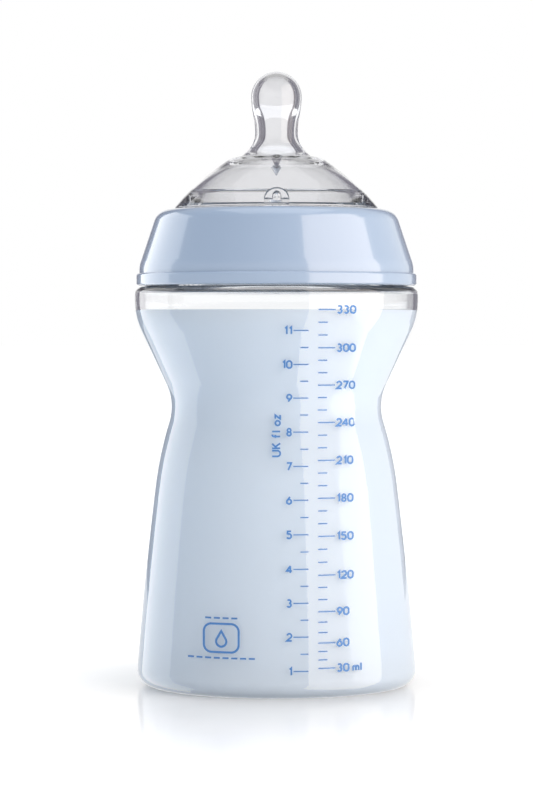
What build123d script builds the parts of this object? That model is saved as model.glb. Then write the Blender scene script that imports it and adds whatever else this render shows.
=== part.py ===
from build123d import *
import os
from math import cos, radians, sin

# Wide-neck feeding bottle: a waisted bottle, a screw collar and a teat, with printed scales.
# Millimetres, +Z up, origin on the bottle's axis at the plane it stands on, scales facing -Y.

# --- bottle wall: a flat foot ring and bend, a long easy side, then tangent arcs up to the shoulder ---
wall = 1.6
foot_ring_inner = 29.5
foot_ring_outer = 33.55
push_up = 2.2                      # height of the hollow under the bottle
floor_thickness = 1.8
foot_bend = (4.4, 94.4)            # outer radius and turn, in degrees; a positive turn bends inwards
side_stations = [(32.98, 54.40, 97.0), (29.25, 71.80, 107.2)]    # radius, height, heading in degrees
waist_bend = (14, -42.2)
shoulder_run = 16.4                # straight, between the waist and the shoulder
brow_bend = (18.4, 25.0)
brow_run = 2.05                    # upright, between the shoulder and its rounded edge
brow_edge = 2.0

# --- neck and its two-start right-hand thread ---
neck_root = 29.0
neck_bore = 27.2
neck_fillet = 0.8
bore_fillet = 2.4
rim_height = 125.5
rim_round = 0.8
thread_lead = 8.0
thread_starts = 2
thread_phase = 25                  # degrees from +X to where the first ridge starts
thread_height = 1.5
thread_root_width = 1.9
thread_crest_width = 1.0
thread_sink = 0.3                  # how far a thread's foot runs into its wall
bottle_thread_start = 112.6
collar_thread_start = 110.6        # half a pitch below the bottle's, so the ridges share the gaps

# --- screw collar: outer skirt with a bead, inner threaded sleeve, top ring ---
collar_foot = 108.8
collar_top = 129.5
collar_ring_thickness = 2.0
cut_margin = 1.0                   # how far a cutting shape runs past the face it opens
collar_hole = 27.2
collar_flat_outer = 29.3           # where the top ring starts to round over
collar_shoulder = 4.2
skirt_lean = 18.5                  # degrees from upright
skirt_run = 11.7
skirt_flare = 8.0
skirt_wall = 1.4
bead_radius = 38.2
bead_height = 3.4
bead_round = 0.7
sleeve_bore = 30.9
sleeve_wall = 1.5
sleeve_foot = 109.3

# --- teat: nipple, domed base, retention lip, clamping flange ---
tip_height = 167.5
bulb_radius = 6.9
nipple_waist = (5.8, 150.0)        # radius, height
nipple_foot = (9.5, 144.0)
nipple_flare = (1, -0.95)          # heading of the nipple's side where it meets its foot
dome_edge = (12.4, 143.6)
dome_foot = (27.6, 130.1)
dome_bulge = 0.75                  # how far the dome's side bows out from a straight cone
lip_height = 129.75
groove_radius = 26.9
flange_radius = 30.3
flange_top = 127.3
flange_foot = 125.75
teat_bore = 25.3
dome_wall = 1.7
dome_inset = 1.0                   # how far the inner face starts inside the dome's upper edge
dome_foot_drop = 0.4               # how far the inner face ends below the dome's foot
tip_wall = 1.4
lumen_bulb = 5.5
lumen_step = 158.0                 # below this the nipple's wall thickens
lumen_step_size = (0.5, 0.4)
lumen_waist = (3.8, 150.0)
lumen_foot = (6.3, 144.6)
lumen_flare = (1, -0.8)
feed_hole = 0.3
rib_height = 133.0                 # stiffening rib inside the dome
rib_bore = 21.8
rib_thickness = 0.8
vent_radius = 3.3                  # arched hood of each vent
vent_depth = 6.0
vent_centre = 130.9
vent_face = 26.3                   # distance of the hood's flat face from the axis
vent_button = (1.25, 0.6, 1.9)     # half sizes of the oval valve button
vent_button_rise = 0.9             # of the button's centre above the hood's
notch_size = (1.75, 1.1)           # half width and depth where it crosses the dome's edge
notch_slope = 28                   # degrees below level
notch_length = 9.6

# --- printed scales: ink films on the side that faces -Y ---
ink_gap = 0.03
ink_thickness = 0.08
ink_sector = 90                    # degrees of the bottle's front that take print
stroke = 0.45
tick_stroke = 0.30
digit_height = 1.85
digit_width = 0.70                 # share of the digit's height
letter_gap = 0.24                  # share of the digit's height
top_mark = 102.2                   # height of the 330 ml mark
ml_steps = [10.05, 9.9, 9.9, 9.9, 9.9, 9.95, 10.15, 9.5, 8.15, 6.6]
ml_tick = (10.9, 15.4)
ml_short_tick = (10.9, 13.3)
ml_label = 15.9
ounce_top = 96.7                   # height of the 11 ounce mark
ounce_steps = [8.95, 8.9, 8.95, 8.95, 8.85, 9.0, 9.0, 8.85, 8.8, 8.9]
ounce_tick = (4.35, 8.3)
ounce_short_tick = (6.2, 8.3)
ounce_label_end = 3.9
unit_mark = (0.9, 63.6)            # where the climbing unit lettering starts
unit_height = 2.12
care_mark_centre = (-14.6, 16.0)
care_mark_size = (9.2, 7.4)
care_mark_corner = 2.0
care_mark_stroke = 0.55
drop_bowl = 1.35                   # radius of the drop's round end
drop_side = 30                     # degrees above level where its straight sides meet the round end
drop_fall = 0.9                    # of the round end's centre below the mark's centre
dash_length = 1.6
dash_pitch = 2.3
dash_gap = 1.5                     # between the frame and the dashes above and below it
dash_counts = (4, 8)               # above and below the frame


def heading_vector(angle):
    return Vector(cos(radians(angle)), sin(radians(angle)))


def wall_bends(inset):
    # every run of the wall as edges, for the face that lies this far inside the outer one
    bend, turn = foot_bend
    edges = [JernArc((foot_ring_outer, inset), (1, 0), bend - inset, turn)]
    knots, headings = [edges[0] @ 1], [edges[0] % 1]
    for radius, height, heading in side_stations:
        knots.append(Vector(radius, height) + heading_vector(heading + 90) * inset)
        headings.append(heading_vector(heading))
    edges.append(Spline(knots, tangents=headings))
    bend, turn = waist_bend
    edges.append(JernArc(edges[-1] @ 1, headings[-1], bend + inset, turn))
    end, heading = edges[-1] @ 1, edges[-1] % 1
    edges.append(Line(end, end + heading * shoulder_run))
    bend, turn = brow_bend
    edges.append(JernArc(edges[-1] @ 1, heading, bend - inset, turn))
    brow = edges[-1] @ 1
    edges.append(Line(brow, brow + Vector(0, brow_run)))
    edges.append(JernArc(edges[-1] @ 1, (0, 1), brow_edge - inset, 90))
    return edges


def spun(edges, sector=360):
    # the solid that a closed outline (radius, height) sweeps about the axis
    return revolve(make_face([Plane.XZ * edge for edge in edges]), Axis.Z, sector)


def disc_outline(start, points):
    return [Line(a, b) for a, b in zip([start] + points, points)]


def vessel(inset, floor, neck, corner):
    # the space that the bottle's outer face (or inner face) encloses, up to the rim
    foot = (foot_ring_inner, inset)
    edges = [TangentArc((0, push_up + floor), foot, tangent=(1, 0))]
    edges.append(Line(foot, (foot_ring_outer, inset)))
    edges += wall_bends(inset)
    ledge = edges[-1] @ 1
    edges.append(Line(ledge, (neck + corner, ledge.Y)))
    edges.append(JernArc((neck + corner, ledge.Y), (-1, 0), corner, -90))
    edges += disc_outline(edges[-1] @ 1, [(neck, rim_height), (0, rim_height), (0, push_up + floor)])
    return spun(edges)


def thread(root, reach, start):
    # ridges of one turn each, standing out (or in, for a negative reach) from a wall of radius root
    side = 1 if reach > 0 else -1
    path = Helix(thread_lead, thread_lead, root, center=(0, 0, start))
    section = Polyline(
        (-side * thread_sink, -thread_root_width / 2),
        (reach, -thread_crest_width / 2),
        (reach, thread_crest_width / 2),
        (-side * thread_sink, thread_root_width / 2),
        close=True,
    )
    across = Plane(origin=(root, 0, start), x_dir=(1, 0, 0), z_dir=(0, -1, 0))
    ridge = sweep(across * make_face(section), path, is_frenet=True)
    turn = 360 / thread_starts
    return [Rot(0, 0, thread_phase + turn * number) * ridge for number in range(thread_starts)]


def make_bottle():
    shell = vessel(0, 0, neck_root, neck_fillet)
    hollow = vessel(wall, floor_thickness, neck_bore, bore_fillet)
    bottle = shell - hollow
    rim = bottle.edges().filter_by(GeomType.CIRCLE).filter_by_position(
        Axis.Z, rim_height - 0.01, rim_height + 0.01
    )
    bottle = fillet(rim, rim_round)
    for ridge in thread(neck_root, thread_height, bottle_thread_start):
        bottle += ridge
    return bottle


def skirt_edges(inset):
    # the skirt's face from the top ring's edge down to the bead, this far inside the outer face
    round_over = JernArc(
        (collar_flat_outer, collar_top - inset), (1, 0), collar_shoulder - inset, skirt_lean - 90
    )
    end, heading = round_over @ 1, round_over % 1
    lean = Line(end, end + heading * skirt_run)
    flare = JernArc(lean @ 1, lean % 1, skirt_flare - inset, -skirt_lean)
    return [round_over, lean, flare]


def make_collar():
    outside = skirt_edges(0)
    below = (outside[-1] @ 1).X
    bead_top = collar_foot + bead_height
    outline = disc_outline((0, collar_top), [(collar_flat_outer, collar_top)]) + outside
    outline += disc_outline(
        outside[-1] @ 1,
        [
            (below, bead_top),
            (bead_radius, bead_top),
            (bead_radius, collar_foot),
            (0, collar_foot),
            (0, collar_top),
        ],
    )
    collar = spun(outline)
    bead = collar.edges().filter_by(GeomType.CIRCLE).filter_by(
        lambda edge: abs(edge.radius - bead_radius) < 0.01
    )
    collar = fillet(bead, bead_round)

    ring_foot = collar_top - collar_ring_thickness
    collar -= Pos(0, 0, collar_foot) * Cylinder(
        sleeve_bore, ring_foot - collar_foot, align=(Align.CENTER, Align.CENTER, Align.MIN)
    )
    collar -= Pos(0, 0, collar_top) * Cylinder(collar_hole, 3 * collar_ring_thickness)

    # the pocket between the sleeve and the skirt, open at the bottom
    sleeve = sleeve_bore + sleeve_wall
    inside = skirt_edges(skirt_wall)[1:]
    top, foot = inside[0] @ 0, inside[-1] @ 1
    pocket = [Line((0, top.Y), top)] + inside
    below = collar_foot - cut_margin
    pocket += disc_outline(foot, [(foot.X, below), (0, below), (0, top.Y)])
    collar -= spun(pocket) - Cylinder(sleeve, 2 * collar_top)
    # the sleeve stops a little above the skirt's foot
    collar -= Pos(0, 0, sleeve_foot) * Cylinder(
        sleeve + 0.01, 10 * cut_margin, align=(Align.CENTER, Align.CENTER, Align.MAX)
    )
    for ridge in thread(sleeve_bore, -thread_height, collar_thread_start):
        collar += ridge
    return collar


def make_teat():
    tip = JernArc((0, tip_height), (1, 0), bulb_radius, -90)
    nipple = Spline(tip @ 1, nipple_waist, nipple_foot, tangents=[(0, -1), nipple_flare])
    outline = [tip, nipple, Line(nipple_foot, dome_edge), SagittaArc(dome_edge, dome_foot, dome_bulge)]
    outline += disc_outline(
        dome_foot,
        [
            (dome_foot[0], lip_height),
            (groove_radius, lip_height),
            (groove_radius, flange_top),
            (flange_radius, flange_top),
            (flange_radius, flange_foot),
            (0, flange_foot),
            (0, tip_height),
        ],
    )
    teat = spun(outline)
    for side in (-1, 1):
        teat += vent_hood(side)

    lumen_top = tip_height - tip_wall
    cap = JernArc((0, lumen_top), (1, 0), lumen_bulb, -90)
    wide = Line(cap @ 1, (lumen_bulb, lumen_step))
    step = (lumen_bulb - lumen_step_size[0], lumen_step - lumen_step_size[1])
    narrow = Spline(step, lumen_waist, lumen_foot, tangents=[(-0.1, -1), lumen_flare])
    inner_edge = (dome_edge[0] - dome_inset, dome_edge[1] - dome_wall)
    inner_foot = (teat_bore, dome_foot[1] - dome_foot_drop)
    hollow = [cap, wide, Line(wide @ 1, step), narrow, Line(lumen_foot, inner_edge)]
    hollow.append(SagittaArc(inner_edge, inner_foot, dome_bulge))
    below = flange_foot - cut_margin
    hollow += disc_outline(inner_foot, [(teat_bore, below), (0, below), (0, lumen_top)])
    rib = Cylinder(teat_bore, rib_thickness) - Cylinder(rib_bore, rib_thickness)
    teat -= spun(hollow) - Pos(0, 0, rib_height) * rib
    teat -= Pos(0, 0, tip_height) * Cylinder(feed_hole, 4 * tip_wall)
    for turn in (0, 180):
        teat -= shoulder_notch(turn)
    return teat


def vent_hood(side):
    # an arched hood at the dome's foot with a flat upright face and an oval valve button on it
    middle = side * (vent_face - vent_depth / 2)
    arch = Pos(0, middle, vent_centre) * Rot(90, 0, 0) * Cylinder(vent_radius, vent_depth)
    button = Pos(0, side * vent_face, vent_centre + vent_button_rise) * scale(Sphere(1), vent_button)
    above_lip = Pos(0, 0, dome_foot[1]) * Cylinder(
        flange_radius, 2 * vent_radius, align=(Align.CENTER, Align.CENTER, Align.MIN)
    )
    return (arch + button) & above_lip


def shoulder_notch(turn):
    # a V groove that leaves the nipple's foot, cuts the dome's upper edge and dies out down the dome
    half, deep = notch_size
    section = Polygon((0, 0), (2 * half, 2 * deep), (-2 * half, 2 * deep), align=None)
    slope = radians(notch_slope)
    start = Plane(
        origin=(0, -nipple_foot[0], nipple_foot[1]),
        x_dir=(1, 0, 0),
        z_dir=(0, -cos(slope), -sin(slope)),
    )
    return Rot(0, 0, turn) * extrude(start * section, notch_length)


def line_stroke(*points):
    return [Line(a, b) for a, b in zip(points, points[1:])]


def round_stroke(x, y, radius, start, turn):
    return [CenterArc((x, y), radius, start, turn)]


def ring_stroke(x, y, radius):
    return [round_stroke(x, y, radius, 0, 180), round_stroke(x, y, radius, 180, 180)]


def glyph_strokes(letter):
    # pen lines of a plain round-ended alphabet, one unit high
    w = digit_width
    half = w / 2
    strokes = {
        "0": [
            round_stroke(half, 1 - half, half, 0, 180),
            round_stroke(half, half, half, 180, 180),
            line_stroke((0, half), (0, 1 - half)),
            line_stroke((w, half), (w, 1 - half)),
        ],
        "1": [line_stroke((0.10, 0.80), (0.34, 1), (0.34, 0))],
        "2": [round_stroke(half, 0.69, 0.31, 165, -210), line_stroke((0.569, 0.471), (0.02, 0), (w, 0))],
        "3": [
            round_stroke(half - 0.04, 0.75, 0.25, 140, -230),
            round_stroke(half - 0.04, 0.28, 0.28, 90, -240),
        ],
        "4": [line_stroke((0.50, 0), (0.50, 1)), line_stroke((0.50, 1), (0, 0.30), (0.72, 0.30))],
        "5": [line_stroke((0.62, 1), (0.12, 1), (0.08, 0.56)), round_stroke(0.31, 0.32, 0.32, 130, -280)],
        "6": ring_stroke(0.33, 0.32, 0.32) + [line_stroke((0.08, 0.50), (0.46, 1))],
        "7": [line_stroke((0.02, 1), (0.66, 1), (0.22, 0))],
        "8": ring_stroke(half, 0.76, 0.24) + ring_stroke(half, 0.27, 0.27),
        "9": ring_stroke(0.37, 0.68, 0.32) + [line_stroke((0.62, 0.50), (0.24, 0))],
        "m": [
            line_stroke((0, 0), (0, 0.62)),
            round_stroke(0.20, 0.42, 0.20, 0, 180),
            line_stroke((0.40, 0), (0.40, 0.42)),
            round_stroke(0.60, 0.42, 0.20, 0, 180),
            line_stroke((0.80, 0), (0.80, 0.42)),
        ],
        "l": [line_stroke((0.10, 0), (0.10, 1))],
        "U": [
            round_stroke(half, half, half, 180, 180),
            line_stroke((0, half), (0, 1)),
            line_stroke((w, half), (w, 1)),
        ],
        "K": [
            line_stroke((0.05, 0), (0.05, 1)),
            line_stroke((0.62, 1), (0.06, 0.42)),
            line_stroke((0.24, 0.6), (0.66, 0)),
        ],
        "f": [
            line_stroke((0.16, 0), (0.16, 0.78)),
            round_stroke(0.36, 0.78, 0.20, 180, -100),
            line_stroke((0, 0.6), (0.36, 0.6)),
        ],
        "o": ring_stroke(0.29, 0.31, 0.29),
        "z": [line_stroke((0.02, 0.6), (0.46, 0.6), (0, 0), (0.48, 0))],
    }
    return strokes[letter]


def letter_width(letter):
    narrow = {"1": 0.40, "l": 0.20, "m": 0.80, "f": 0.44, "o": 0.58, "z": 0.48, " ": 0.16}
    return narrow.get(letter, digit_width)


def text_width(text):
    return digit_height * (sum(letter_width(letter) + letter_gap for letter in text) - letter_gap)


def text_strokes(text, x, z, size=digit_height, upright=True):
    # the figures of a word that starts at x, z, each a list of pen strokes; it climbs when not upright
    turn = Location((x, z, 0)) if upright else Location((x, z, 0), (0, 0, 90))
    drawn = []
    advance = 0
    for letter in text:
        if letter != " ":
            place = turn * Pos(advance * size, 0)
            pens = glyph_strokes(letter)
            drawn.append([[place * scale(edge, size) for edge in pen] for pen in pens])
        advance += letter_width(letter) + letter_gap
    return drawn


def mark_heights(top, steps):
    heights = [top]
    for step in steps:
        heights.append(heights[-1] - step)
    return heights


def ink_skin():
    # thin skin over the front of the bottle's side, just clear of its face
    near, far = wall_bends(-ink_gap)[1:-1], wall_bends(-ink_gap - ink_thickness)[1:-1]
    ends = [Line(near[0] @ 0, far[0] @ 0), Line(near[-1] @ 1, far[-1] @ 1)]
    return Rot(0, 0, -90 - ink_sector / 2) * spun(near + far + ends, ink_sector)


def film(skin, flat):
    # the ink under a flat figure, raised by hundredths of a millimetre if a seam spoils the cut
    expected = flat.area * ink_thickness
    for nudge in (0, 0.013, 0.027, 0.041, 0.059):
        cut = extrude(Plane.XZ * Pos(0, nudge) * flat, 45, dir=(0, -1, 0)) & skin
        if 0.9 * expected < cut.volume < 1.6 * expected:
            return cut.solids()
    raise ValueError("a printed figure could not be cut from the skin")


def printed(skin, figures, width):
    # each figure as one film of ink on the skin's front, its strokes run together
    films = []
    for strokes in figures:
        flat = trace(strokes[0], width)
        for pen in strokes[1:]:
            flat += trace(pen, width)
        films += film(skin, flat)
    return films


def ticks(heights, span):
    return [[line_stroke((span[0], height), (span[1], height))] for height in heights]


def make_ml_scale(skin):
    heights = mark_heights(top_mark, ml_steps)
    between = [a + (b - a) * part / 3 for a, b in zip(heights, heights[1:]) for part in (1, 2)]
    films = printed(skin, ticks(heights, ml_tick) + ticks(between, ml_short_tick), tick_stroke)
    for number, height in enumerate(heights):
        label = str(330 - 30 * number)
        if number == len(heights) - 1:
            label += " ml"
        films += printed(skin, text_strokes(label, ml_label, height - digit_height / 2), stroke)
    return Compound(films)


def make_ounce_scale(skin):
    heights = mark_heights(ounce_top, ounce_steps)
    between = [(a + b) / 2 for a, b in zip(heights, heights[1:])]
    films = printed(skin, ticks(heights, ounce_tick) + ticks(between, ounce_short_tick), tick_stroke)
    for number, height in enumerate(heights):
        label = str(11 - number)
        start = ounce_label_end - text_width(label)
        films += printed(skin, text_strokes(label, start, height - digit_height / 2), stroke)
    films += printed(skin, text_strokes("UK fl oz", *unit_mark, unit_height, upright=False), stroke)
    return Compound(films)


def make_care_mark(skin):
    # a drop in a rounded frame, with a row of dashes above and below it
    x, z = care_mark_centre
    wide, high = care_mark_size
    frame = (Pos(x, z) * RectangleRounded(wide, high, care_mark_corner)).edges()
    low = z - drop_fall
    side = (drop_bowl * cos(radians(drop_side)), low + drop_bowl * sin(radians(drop_side)))
    peak = (x, low + drop_bowl / sin(radians(drop_side)))
    drop = round_stroke(x, low, drop_bowl, drop_side, -180 - 2 * drop_side)
    drop += line_stroke((x - side[0], side[1]), peak, (x + side[0], side[1]))
    films = printed(skin, [[frame], [drop]], care_mark_stroke)
    reach = high / 2 + dash_gap
    for count, height in zip(dash_counts, (z + reach, z - reach)):
        for number in range(count):
            start = x + (number - count / 2) * dash_pitch + (dash_pitch - dash_length) / 2
            films += printed(skin, [[line_stroke((start, height), (start + dash_length, height))]], stroke)
    return Compound(films)


os.makedirs("parts", exist_ok=True)
skin = ink_skin()
nodes = {
    "bottle": make_bottle(),
    "screw_collar": make_collar(),
    "teat": make_teat(),
    "ml_scale": make_ml_scale(skin),
    "ounce_scale": make_ounce_scale(skin),
    "care_mark": make_care_mark(skin),
}
for name, shape in nodes.items():
    export_step(shape, f"parts/{name}.step")
    print(name, len(shape.solids()), "solids", round(shape.volume, 2), "mm3")
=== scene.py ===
from math import atan, cos, pi, radians, sin

import bpy
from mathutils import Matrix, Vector
from mathutils.geometry import interpolate_bezier


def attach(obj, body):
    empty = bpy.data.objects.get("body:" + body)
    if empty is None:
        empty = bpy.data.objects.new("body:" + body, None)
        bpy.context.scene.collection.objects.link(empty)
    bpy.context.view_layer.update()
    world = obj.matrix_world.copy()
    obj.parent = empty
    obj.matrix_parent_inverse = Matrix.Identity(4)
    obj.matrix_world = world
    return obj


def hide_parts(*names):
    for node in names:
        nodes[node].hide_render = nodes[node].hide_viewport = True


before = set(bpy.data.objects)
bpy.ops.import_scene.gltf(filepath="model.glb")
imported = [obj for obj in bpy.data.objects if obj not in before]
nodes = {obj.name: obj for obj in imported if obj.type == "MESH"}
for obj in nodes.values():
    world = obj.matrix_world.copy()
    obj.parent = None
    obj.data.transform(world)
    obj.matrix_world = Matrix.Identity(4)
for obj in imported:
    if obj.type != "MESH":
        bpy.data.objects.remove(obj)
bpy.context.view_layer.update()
mm = 0.001                 # shapes are in millimetres, the studio is in metres
samePoint = 1e-4           # outline points nearer than this are one, in millimetres
sameCorner = 0.004 * mm


# shader maths: a wire is one socket, and an expression on wires adds its nodes

class Wire:
    def __init__(self, tree, socket):
        self.tree = tree
        self.socket = socket

    def math(self, operation, first, second=None):
        node = self.tree.nodes.new("ShaderNodeMath")
        node.operation = operation
        for place, value in enumerate((first, second)):
            if isinstance(value, Wire):
                self.tree.links.new(value.socket, node.inputs[place])
            elif value is not None:
                node.inputs[place].default_value = value
        return Wire(self.tree, node.outputs[0])

    def __add__(self, other):
        return self.math("ADD", self, other)

    __radd__ = __add__

    def __sub__(self, other):
        return self.math("SUBTRACT", self, other)

    def __rsub__(self, other):
        return self.math("SUBTRACT", other, self)

    def __mul__(self, other):
        return self.math("MULTIPLY", self, other)

    __rmul__ = __mul__

    def __abs__(self):
        return self.math("ABSOLUTE", self)


class Sheet:
    # the node sheet of a material or of the world
    def __init__(self, owner):
        owner.use_nodes = True
        self.owner = owner
        self.tree = owner.node_tree
        self.tree.nodes.clear()

    def node(self, kind, settings=None, sockets=None, output=0):
        node = self.tree.nodes.new("ShaderNode" + kind)
        for key, value in (settings or {}).items():
            setattr(node, key, value)
        for key, value in (sockets or {}).items():
            if isinstance(value, Wire):
                self.tree.links.new(value.socket, node.inputs[key])
            else:
                node.inputs[key].default_value = value
        return Wire(self.tree, node.outputs[output]) if node.outputs else None

    def place(self, stretch):
        here = self.node("TexCoord", output="Object")
        return self.node("Mapping", sockets={"Vector": here, "Scale": stretch})

    def noise(self, scale, detail=2.0, stretch=(1, 1, 1)):
        sockets = {"Vector": self.place(stretch), "Scale": scale, "Detail": detail}
        return self.node("TexNoise", sockets=sockets)

    def ease(self, value, start, end, low, high):
        # a soft step from one value to another
        sockets = {"Value": value, "From Min": start, "From Max": end, "To Min": low, "To Max": high}
        return self.node("MapRange", {"interpolation_type": "SMOOTHSTEP"}, sockets)

    def blendColours(self, factor, first, second):
        return self.node("Mix", {"data_type": "RGBA"}, {0: factor, 6: first, 7: second}, output=2)

    def bump(self, height, strength, distance):
        return self.node("Bump", sockets={"Height": height, "Strength": strength, "Distance": distance})

    def finish(self, shader, target="OutputMaterial"):
        self.node(target, sockets={"Surface": shader})
        return self.owner


def newSheet(name):
    return Sheet(bpy.data.materials.new(name))


def dress(piece, material):
    piece.data.materials.clear()
    piece.data.materials.append(material)


# modelling helpers

def deselectAll():
    if bpy.context.object and bpy.context.object.mode != "OBJECT":
        bpy.ops.object.mode_set(mode="OBJECT")
    bpy.ops.object.select_all(action="DESELECT")


def makeActive(piece):
    deselectAll()
    piece.select_set(True)
    bpy.context.view_layer.objects.active = piece


def settle(piece):
    # writes a piece's place, turn and scale into its mesh
    makeActive(piece)
    bpy.ops.object.transform_apply(location=True, rotation=True, scale=True)


def arcPoints(centre, radius, start, end, count):
    # points on an arc in the (radius, height) plane, angles in degrees from straight out
    steps = [radians(start + (end - start) * n / (count - 1)) for n in range(count)]
    return [(centre[0] + radius * cos(a), centre[1] + radius * sin(a)) for a in steps]


def bendPoints(start, leave, arrive, end, count):
    # points on a smooth bend between two points, with a handle point for each
    knots = [Vector((p[0], p[1], 0)) for p in (start, leave, arrive, end)]
    return [(p.x, p.y) for p in interpolate_bezier(*knots, count)]


def joinRuns(*runs):
    joined = []
    for run in runs:
        for point in run:
            if not joined or (Vector(point) - Vector(joined[-1])).length > samePoint:
                joined.append(point)
    return joined


def spinOutline(name, outline, steps):
    # an outline of (radius, height) points, drawn point by point and spun about the upright axis
    deselectAll()
    start = outline[0]
    bpy.ops.mesh.primitive_plane_add(size=mm, location=(start[0] * mm, 0, start[1] * mm))
    piece = bpy.context.object
    piece.name = name
    settle(piece)
    bpy.ops.object.mode_set(mode="EDIT")
    bpy.ops.mesh.select_all(action="SELECT")
    bpy.ops.mesh.merge(type="CENTER")
    for here, there in zip(outline, outline[1:]):
        step = ((there[0] - here[0]) * mm, 0, (there[1] - here[1]) * mm)
        bpy.ops.mesh.extrude_vertices_move(TRANSFORM_OT_translate={"value": step})
    bpy.ops.mesh.select_all(action="SELECT")
    bpy.ops.mesh.spin(steps=steps, angle=2 * pi, center=(0, 0, 0), axis=(0, 0, 1))
    bpy.ops.mesh.select_all(action="SELECT")
    bpy.ops.mesh.remove_doubles(threshold=sameCorner)
    bpy.ops.mesh.normals_make_consistent(inside=False)
    bpy.ops.object.mode_set(mode="OBJECT")
    return piece


def carve(piece, tool, operation):
    # joins a tool shape to a piece, or cuts it out of the piece, and throws the tool away
    change = piece.modifiers.new("carve", "BOOLEAN")
    change.operation = operation
    change.solver = "EXACT"
    change.object = tool
    makeActive(piece)
    bpy.ops.object.modifier_apply(modifier=change.name)
    bpy.data.objects.remove(tool, do_unlink=True)


def shadeByAngle(piece, degrees):
    makeActive(piece)
    bpy.ops.object.shade_smooth_by_angle(angle=radians(degrees))


# the camera

cameraView = {
    "distance": 0.860, "side": -0.0027, "height": 0.0975,
    "aimHeight": 0.0777,
    "lens": 141.9, "film": 36,             # millimetres
    "nearest": 0.05, "farthest": 50,
}


def placeCamera():
    view = cameraView
    data = bpy.data.cameras.new("camera")
    data.lens = view["lens"]
    data.sensor_width = view["film"]
    data.clip_start, data.clip_end = view["nearest"], view["farthest"]
    camera = bpy.data.objects.new("camera", data)
    bpy.context.scene.collection.objects.link(camera)
    camera.location = (view["side"], -view["distance"], view["height"])
    drop = view["height"] - view["aimHeight"]
    camera.rotation_euler = (pi / 2 - atan(drop / view["distance"]), 0, 0)
    bpy.context.scene.camera = camera


# the light: azimuths are in degrees from the camera's side

studio = {
    "backdrop": 1.0,                       # what the camera sees behind the bottle
    "ambient": 1.0,                        # what lights it from all round
    "ambientTint": (0.90, 0.97, 1.06, 1),
    "behind": 1.0,                         # what clear pieces show of the backdrop
    "above": 0.50,                         # of the dimmer ceiling
    "sides": 0.04,                         # and of the dark to the left and right
    "sidesStart": 0.35, "sidesEnd": 0.85,
    "aboveStart": 0.12, "aboveEnd": 0.62,
    "lamps": {
        "keyPanel": {
            "azimuth": 60, "distance": 0.60, "height": 0.05, "size": (0.82, 1.60), "power": 11.2,
            "colour": (1.0, 0.865, 0.75),
        },
        "sidePanel": {
            "azimuth": -120, "distance": 0.55, "height": -0.08, "size": (0.50, 1.20), "power": 2.45,
        },
        "topPanel": {
            "azimuth": 0, "distance": 0.05, "height": 0.75, "size": (0.6, 0.6), "power": 1.0, "tilt": 90,
        },
    },
    "cards": [
        {"azimuth": 154, "distance": 0.62, "width": 0.22, "mirrored": True},
        {"azimuth": 118, "distance": 0.45, "width": 0.44, "mirrored": False},
    ],
    "cardHeight": 0.60,
    "cardBlack": (0.15, 0.145, 0.17, 1),
    "cardRough": 0.9, "cardNap": 0.1,
}


def placeLamp(name, azimuth, distance, height, size, power, colour=(1, 1, 1), tilt=0):
    # a softbox that faces the bottle's axis, or down when it is tilted
    data = bpy.data.lights.new(name, "AREA")
    data.shape = "RECTANGLE"
    data.size, data.size_y = size
    data.energy = power
    data.color = colour
    lamp = bpy.data.objects.new(name, data)
    bpy.context.scene.collection.objects.link(lamp)
    turn = radians(azimuth)
    lamp.location = (sin(turn) * distance, -cos(turn) * distance, height)
    lamp.rotation_euler = (pi / 2 - radians(tilt), 0, turn)
    lamp.visible_camera = False
    lamp.visible_transmission = False


def placeCard(side, azimuth, distance, width, mirrored):
    # a black card that only refracted light meets, and mirrored light where it edges the backdrop
    bpy.ops.mesh.primitive_plane_add(size=1)
    card = bpy.context.object
    card.name = "flag"
    turn, height = radians(side * azimuth), studio["cardHeight"]
    card.scale = (width, height, 1)
    card.rotation_euler = (pi / 2, 0, turn)
    card.location = (sin(turn) * distance, -cos(turn) * distance, height / 2)
    sheet = newSheet("flagCloth")
    shader = sheet.node("BsdfPrincipled", sockets={
        "Base Color": studio["cardBlack"],
        "Roughness": studio["cardRough"] + studio["cardNap"] * sheet.noise(40),
    })
    dress(card, sheet.finish(shader))
    card.visible_camera = False
    card.visible_diffuse = False
    card.visible_shadow = False
    card.visible_glossy = mirrored


def lightWorld():
    # the backdrop is plain white to the camera, and shaded at the sides and above to clear pieces
    world = bpy.data.worlds.new("studio")
    bpy.context.scene.world = world
    sheet = Sheet(world)
    heading = sheet.node("TexCoord", output="Generated")
    across = sheet.node("SeparateXYZ", sockets={0: heading}, output="X")
    up = sheet.node("SeparateXYZ", sockets={0: heading}, output="Z")
    sides = sheet.ease(
        abs(across), studio["sidesStart"], studio["sidesEnd"], studio["behind"], studio["sides"])
    ceiling = sheet.ease(up, studio["aboveStart"], studio["aboveEnd"], 1.0, studio["above"])
    seen = sheet.node("LightPath", output="Is Camera Ray")
    soft = sheet.node("LightPath", output="Is Diffuse Ray")
    mirrored = sheet.node("LightPath", output="Is Glossy Ray")
    shown = soft * studio["ambient"] + (1 - soft) * (sides + mirrored * (1 - sides)) * ceiling
    strength = seen * studio["backdrop"] + (1 - seen) * shown
    tint = sheet.blendColours(soft, (1, 1, 1, 1), studio["ambientTint"])
    backdrop = sheet.node("Background", sockets={"Color": tint, "Strength": strength})
    sheet.finish(backdrop, "OutputWorld")


def lightStudio():
    lightWorld()
    for name, lamp in studio["lamps"].items():
        placeLamp(name, **lamp)
    for side in (-1, 1):
        for card in studio["cards"]:
            placeCard(side, **card)


# the floor: it glows up to the backdrop's white, but the glow is held back round the bottle, a painted shade
# that fades into the white backdrop

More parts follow.
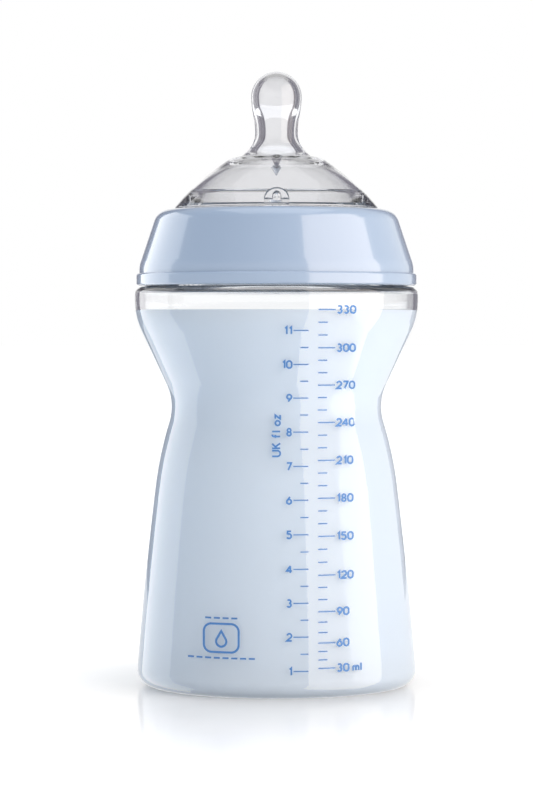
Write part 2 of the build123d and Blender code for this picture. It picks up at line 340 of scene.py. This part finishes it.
floorLook = {
    "size": 30,
    "pale": (0.74, 0.725, 0.71, 1), "rough": 0.15, "haze": 0.03, "ior": 1.5,
    "grain": (60, 3),
    "glow": 0.40,                          # what lifts it to the backdrop's white
    # painted shade: within these distances of the bottle the glow is held back, so the floor round it is
    # darker
    "paintedShadeFadeStart": 0.05, "paintedShadeFadeEnd": 0.22,
    "paintedShadeStretch": (2, 1, 1),
}


def layFloor():
    look = floorLook
    deselectAll()
    bpy.ops.mesh.primitive_plane_add(size=look["size"])
    floor = bpy.context.object
    floor.name = "floor"
    sheet = newSheet("paleFloor")
    rough = look["rough"] + look["haze"] * sheet.noise(*look["grain"])
    # painted shade round the bottle: no glow near it, rising to full glow further out
    away = sheet.node("VectorMath", {"operation": "LENGTH"}, {0: sheet.place(look["paintedShadeStretch"])}, output=1)
    glow = sheet.ease(away, look["paintedShadeFadeStart"], look["paintedShadeFadeEnd"], 0.0, 1.0)
    shader = sheet.node("BsdfPrincipled", sockets={
        "Base Color": look["pale"], "Roughness": rough, "IOR": look["ior"],
        "Emission Color": sheet.blendColours(glow, (0, 0, 0, 1), (1, 1, 1, 1)),
        "Emission Strength": look["glow"],
    })
    dress(floor, sheet.finish(shader))
    floor.visible_glossy = False


placeCamera()
lightStudio()
layFloor()
print("camera, light and floor are set")


# the bottle: clear moulded plastic

plasticLook = {
    "clear": (0.99, 0.995, 1.0, 1), "dense": (0.98, 0.99, 0.998, 1),
    "rough": 0.02, "haze": 0.03, "ior": 1.52,
    "flow": (26, 2, (1, 1, 0.35)),         # noise: scale, detail and stretch
    "fine": (420, 2),
    "ripple": 0.03, "rippleDepth": 0.3,
}


def clearPlastic():
    look = plasticLook
    sheet = newSheet("clearPlastic")
    flow, fine = sheet.noise(*look["flow"]), sheet.noise(*look["fine"])
    shader = sheet.node("BsdfPrincipled", sockets={
        "Base Color": sheet.blendColours(flow, look["clear"], look["dense"]),
        "Roughness": look["rough"] + look["haze"] * fine,
        "IOR": look["ior"],
        "Transmission Weight": 1.0,
        "Normal": sheet.bump(flow, look["ripple"], look["rippleDepth"] * mm),
    })
    return sheet.finish(shader)


dress(nodes["bottle"], clearPlastic())
nodes["bottle"].visible_shadow = False
print("bottle done")


# the screw collar: glossy pale blue plastic

collarLook = {
    "blue": (0.27, 0.345, 0.455, 1), "deep": (0.25, 0.32, 0.43, 1),
    "rough": 0.16, "haze": 0.06, "ior": 1.49,
    "coat": 1.0, "coatRough": 0.06,
    "cloud": (18, 3), "fine": (700, 2),
    "pores": 0.05, "poreDepth": 0.05,
}


def bluePlastic():
    look = collarLook
    sheet = newSheet("bluePlastic")
    cloud, fine = sheet.noise(*look["cloud"]), sheet.noise(*look["fine"])
    shader = sheet.node("BsdfPrincipled", sockets={
        "Base Color": sheet.blendColours(cloud, look["deep"], look["blue"]),
        "Roughness": look["rough"] + look["haze"] * fine,
        "IOR": look["ior"],
        "Coat Weight": look["coat"],
        "Coat Roughness": look["coatRough"],
        "Normal": sheet.bump(fine, look["pores"], look["poreDepth"] * mm),
    })
    return sheet.finish(shader)


dress(nodes["screw_collar"], bluePlastic())
print("screw collar done")


# the printed scales: blue screen ink

inkLook = {
    "blue": (0.035, 0.15, 0.40, 1), "thin": (0.05, 0.18, 0.44, 1),
    "patch": (900, 3),
    "rough": 0.35, "patchy": 0.2,
    "grain": 0.2, "grainDepth": 0.01,
}


def printInk():
    look = inkLook
    sheet = newSheet("printInk")
    patch = sheet.noise(*look["patch"])
    shader = sheet.node("BsdfPrincipled", sockets={
        "Base Color": sheet.blendColours(patch, look["blue"], look["thin"]),
        "Roughness": look["rough"] + look["patchy"] * patch,
        "Normal": sheet.bump(patch, look["grain"], look["grainDepth"] * mm),
    })
    return sheet.finish(shader)


ink = printInk()
for printName in ("ml_scale", "ounce_scale", "care_mark"):
    dress(nodes[printName], ink)
print("print done")


# the milk: fills the bottle to the top mark and wets the wall

milkShape = {
    "overlap": 0.25,                       # how far it reaches into the wall, so that no air shows between
    "wall": 1.6,
    "level": 102.3,
    "meniscus": 0.7,
    "curl": (0.2, 0.5, 0.9, 1.4, 2.0, 3.0),                    # how far in the meniscus's points lie
    "foot": (29.5, 33.55),                 # inner and outer edge of the foot ring
    "footRise": 4.0,                       # of the hollow under the bottle
    "footBend": (4.4, 94.4, 14),           # bends are a radius, a turn in degrees and a count of points
    "side": [(32.98, 54.40, 97.0), (29.25, 71.80, 107.2)],     # radius, height, heading in degrees
    "sidePoints": 14,
    "waistBend": (14, -42.2, 22),
    "run": 16.4,
    "upperBend": (18.4, 25.0, 16),
    "steps": 128, "smoothAngle": 50,
    "thin": (0.71, 0.825, 0.955, 1), "full": (0.74, 0.845, 0.965, 1),
    "cloud": (12, 2),
    "rough": 0.5, "ior": 1.35,
}


def wallOutline(inset):
    # the bottle's wall as points, for the face this far inside the outer one
    x, z, heading = milkShape["foot"][1], inset, 0.0
    points = [(x, z)]

    def bend(radius, turn, count):
        nonlocal x, z, heading
        side = 1 if turn > 0 else -1
        radius -= side * inset
        centreX, centreZ = x - side * radius * sin(heading), z + side * radius * cos(heading)
        for n in range(1, count + 1):
            a = heading + radians(turn) * n / count
            x, z = centreX + side * radius * sin(a), centreZ - side * radius * cos(a)
            points.append((x, z))
        heading += radians(turn)

    def reach(radius, height, arrive):
        # an easy run to a station on the outer face, set in like the rest
        nonlocal x, z, heading
        start, leave, arrive = Vector((x, z)), Vector((cos(heading), sin(heading))), radians(arrive)
        end = Vector((radius - inset * sin(arrive), height + inset * cos(arrive)))
        handle = (end - start).length / 3
        stop = end - handle * Vector((cos(arrive), sin(arrive)))
        points.extend(bendPoints(start, start + handle * leave, stop, end, milkShape["sidePoints"])[1:])
        (x, z), heading = end, arrive

    bend(*milkShape["footBend"])
    for station in milkShape["side"]:
        reach(*station)
    bend(*milkShape["waistBend"])
    x, z = x + milkShape["run"] * cos(heading), z + milkShape["run"] * sin(heading)
    points.append((x, z))
    bend(*milkShape["upperBend"])
    return points


def milkOutline():
    s = milkShape
    inset = s["wall"] - s["overlap"]
    wall = wallOutline(inset)
    level, deep = s["level"], s["meniscus"]
    below = [p for p in wall if p[1] < level]
    last, over = below[-1], wall[len(below)]
    share = (level - last[1]) / (over[1] - last[1])
    rim = (last[0] + share * (over[0] - last[0]), level)
    ring = s["foot"][0]
    rise = s["footRise"] - s["overlap"]
    bottom = [(ring * n / 8, inset + (rise - inset) * (1 - (n / 8) ** 2)) for n in range(9)]
    width = s["curl"][-1]
    curl = [(rim[0] - inward, level - deep * (1 - (1 - inward / width) ** 3)) for inward in s["curl"]]
    top = [(curl[-1][0] * (1 - n / 6), level - deep) for n in range(1, 7)]
    return joinRuns(bottom, below, [rim], curl, top)


def milkLiquid():
    look = milkShape
    sheet = newSheet("milkLiquid")
    shader = sheet.node("BsdfPrincipled", sockets={
        "Base Color": sheet.blendColours(sheet.noise(*look["cloud"]), look["thin"], look["full"]),
        "Roughness": look["rough"],
        "IOR": look["ior"],
    })
    return sheet.finish(shader)


def makeMilk():
    milk = spinOutline("milk", milkOutline(), milkShape["steps"])
    shadeByAngle(milk, milkShape["smoothAngle"])
    dress(milk, milkLiquid())
    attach(milk, "bottle")


makeMilk()
print("milk done")


# the teat: one clear silicone moulding

teatShape = {
    # the outer face, from the tip down; handles shape the run between the points before and after them
    "bulb": 6.9, "bulbHeight": 160.15,
    "neckHandles": ((6.9, 156.6), (5.8, 154.2)),
    "waist": (5.8, 150.2),
    "flareHandles": ((5.8, 147.6), (7.6, 145.4)),
    "flareFoot": (9.5, 144.1), "shelf": (9.8, 143.98), "edge": (12.4, 143.55),
    "domeHandles": ((18.2, 139.6), (23.6, 135.2)),
    "domeFoot": (27.6, 130.15),
    # the lip and the flange that the collar's ring sits between
    "lipHeight": 129.75, "lipEdge": 0.12,
    "groove": 26.95,
    "flange": 30.25, "flangeTop": 127.3, "flangeFoot": 125.8, "flangeEdge": 0.3,
    "bore": 25.3, "boreTop": 130.2,
    # the inner face, from the bore up
    "underEdge": (22.5, 132.75),
    "rib": ((22.1, 132.8), (21.75, 133.05), (21.75, 133.4), (21.9, 133.7)),
    "underStart": (21.9, 133.75), "underHandles": ((18.6, 137.2), (14.4, 140.4)),
    "lumenEdge": (11.0, 142.0), "mouthHandles": ((8.6, 142.9), (6.6, 143.3)),
    "mouth": (5.7, 145.3), "throatHandles": ((4.4, 147.6), (3.8, 148.4)),
    "throat": (3.8, 150.2), "climbHandles": ((3.8, 156.4), (5.5, 155.6)),
    "lumenBulb": 5.5, "lumenTop": 165.7,
    "steps": 144, "smoothAngle": 32,
    # the notch in the dome's upper edge, below the nipple
    "notch": {"half": 1.85, "deep": 1.3, "slope": 26, "start": (9.5, 143.7), "length": 9.6},
    # the arched vent at the dome's foot and its oval button
    "vent": {
        "radius": 3.3, "height": 130.9, "face": 26.3, "depth": 6.0, "foot": 130.14,
        "button": (1.25, 0.6, 1.9), "buttonRise": 0.9,
    },
    "clear": (0.87, 0.87, 0.885, 1), "bright": (0.90, 0.90, 0.91, 1),
    "cloud": (90, 2),
    "rough": 0.03, "haze": 0.03, "ior": 1.41,
    "ripple": 0.04, "rippleDepth": 0.2,
}


def teatOutline():
    s = teatShape
    bulb = arcPoints((0, s["bulbHeight"]), s["bulb"], 90, 0, 22)
    neck = bendPoints(bulb[-1], *s["neckHandles"], s["waist"], 16)
    flare = bendPoints(s["waist"], *s["flareHandles"], s["flareFoot"], 12)
    dome = bendPoints(s["edge"], *s["domeHandles"], s["domeFoot"], 26)
    lip = [
        (s["domeFoot"][0], s["lipHeight"] + s["lipEdge"]),
        (s["domeFoot"][0] - s["lipEdge"], s["lipHeight"]),
        (s["groove"], s["lipHeight"]),
    ]
    soft = s["flangeEdge"]
    flange = [
        (s["groove"], s["flangeTop"]),
        (s["flange"] - soft, s["flangeTop"]), (s["flange"], s["flangeTop"] - soft),
        (s["flange"], s["flangeFoot"] + soft), (s["flange"] - soft, s["flangeFoot"]),
        (s["bore"] + soft, s["flangeFoot"]), (s["bore"], s["flangeFoot"] + soft),
    ]
    bore = [(s["bore"], s["boreTop"]), s["underEdge"]]
    under = bendPoints(s["underStart"], *s["underHandles"], s["lumenEdge"], 18)
    mouth = bendPoints(s["lumenEdge"], *s["mouthHandles"], s["mouth"], 10)
    throat = bendPoints(s["mouth"], *s["throatHandles"], s["throat"], 12)
    capHeight = s["lumenTop"] - s["lumenBulb"]
    climb = bendPoints(s["throat"], *s["climbHandles"], (s["lumenBulb"], capHeight), 24)
    cap = arcPoints((0, capHeight), s["lumenBulb"], 0, 90, 18)
    return joinRuns(
        bulb, neck, flare, [s["shelf"], s["edge"]], dome, lip, flange, bore, s["rib"],
        under, mouth, throat, climb, cap)


def notchTool(turn):
    # a prism whose keel runs from the nipple's foot out through the dome's upper edge
    n = teatShape["notch"]
    deselectAll()
    bpy.ops.mesh.primitive_cylinder_add(
        vertices=3, radius=1, depth=1, location=(0, 1, 0.5), rotation=(0, 0, pi))
    tool = bpy.context.object
    settle(tool)
    # it is made twice the notch's size across, so that its back stands clear of the dome
    halfWidth, height = sin(radians(60)), 1.5
    tool.scale = (2 * n["half"] / halfWidth * mm, 2 * n["deep"] / height * mm, n["length"] * mm)
    tool.rotation_euler = (radians(90 + n["slope"]), 0, turn)
    out, up = n["start"]
    tool.location = (out * sin(turn) * mm, -out * cos(turn) * mm, up * mm)
    settle(tool)
    return tool


def standOnFoot(tool, turn):
    # cuts a tool level at the vent's foot, just above the lip, and turns it about the axis
    foot = (0, 0, teatShape["vent"]["foot"] * mm)
    settle(tool)
    bpy.ops.object.mode_set(mode="EDIT")
    bpy.ops.mesh.select_all(action="SELECT")
    bpy.ops.mesh.bisect(plane_co=foot, plane_no=(0, 0, 1), use_fill=True, clear_inner=True)
    bpy.ops.object.mode_set(mode="OBJECT")
    tool.rotation_euler = (0, 0, turn)
    settle(tool)
    return tool


def ventTool(turn):
    v = teatShape["vent"]
    deselectAll()
    bpy.ops.mesh.primitive_cylinder_add(
        vertices=48, radius=v["radius"] * mm, depth=v["depth"] * mm,
        location=(0, -(v["face"] - v["depth"] / 2) * mm, v["height"] * mm), rotation=(pi / 2, 0, 0))
    return standOnFoot(bpy.context.object, turn)


def buttonTool(turn):
    v = teatShape["vent"]
    deselectAll()
    bpy.ops.mesh.primitive_uv_sphere_add(
        segments=32, ring_count=20, radius=mm,
        location=(0, -v["face"] * mm, (v["height"] + v["buttonRise"]) * mm))
    tool = bpy.context.object
    tool.scale = v["button"]
    return standOnFoot(tool, turn)


def silicone():
    look = teatShape
    sheet = newSheet("silicone")
    cloud = sheet.noise(*look["cloud"])
    shader = sheet.node("BsdfPrincipled", sockets={
        "Base Color": sheet.blendColours(cloud, look["clear"], look["bright"]),
        "Roughness": look["rough"] + look["haze"] * cloud,
        "IOR": look["ior"],
        "Transmission Weight": 1.0,
        "Normal": sheet.bump(cloud, look["ripple"], look["rippleDepth"] * mm),
    })
    return sheet.finish(shader)


def makeTeat():
    teat = spinOutline("siliconeTeat", teatOutline(), teatShape["steps"])
    for turn in (0, pi):                   # front and back
        carve(teat, ventTool(turn), "UNION")
        carve(teat, buttonTool(turn), "UNION")
        carve(teat, notchTool(turn), "DIFFERENCE")
    shadeByAngle(teat, teatShape["smoothAngle"])
    dress(teat, silicone())
    teat.visible_shadow = False
    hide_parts("teat")
    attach(teat, "teat")


makeTeat()
print("teat done")


bpy.context.scene.view_settings.view_transform = "Standard"
bpy.context.scene.cycles.max_bounces = 24
bpy.context.scene.cycles.transmission_bounces = 20
bpy.context.scene.cycles.glossy_bounces = 12
